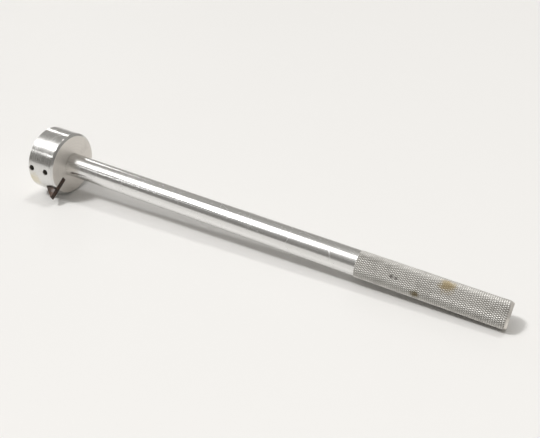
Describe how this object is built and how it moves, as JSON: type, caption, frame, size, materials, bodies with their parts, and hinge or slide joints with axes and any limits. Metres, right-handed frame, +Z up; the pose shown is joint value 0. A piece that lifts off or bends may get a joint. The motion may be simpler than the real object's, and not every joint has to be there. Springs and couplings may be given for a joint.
{
  "type": "aircraft tow bar",
  "caption": "Short hand tow bar: turned round head with a pointed catch plate on one end of an aluminium bar, knurled as a hand grip at the other.",
  "frame": {"origin": "on the ground, under the middle of the object's box", "axes": "+X towards the grip, along the bar as seen from above; +Z up; the catch plate is on the -Y side. The object lies on the ground on the head's rim and the end of the grip, so the bar slopes down 2.63 degrees towards +X"},
  "size_m": [0.5096, 0.0746, 0.0712],
  "materials": {
    "bar_aluminium": "bright drawn bar, satin knurl on the grip",
    "head_aluminium": "turned, semi-bright",
    "plate_steel": "dark brown oxidised plain steel plate",
    "black_screws": "black oxide"
  },
  "bodies": {
    "root": {"bar": "bar_aluminium", "head": "head_aluminium", "catch_plate": "plate_steel", "plate_screw": "black_screws", "set_screw_rear": "black_screws", "set_screw_front": "black_screws"}
  },
  "joints": []
}
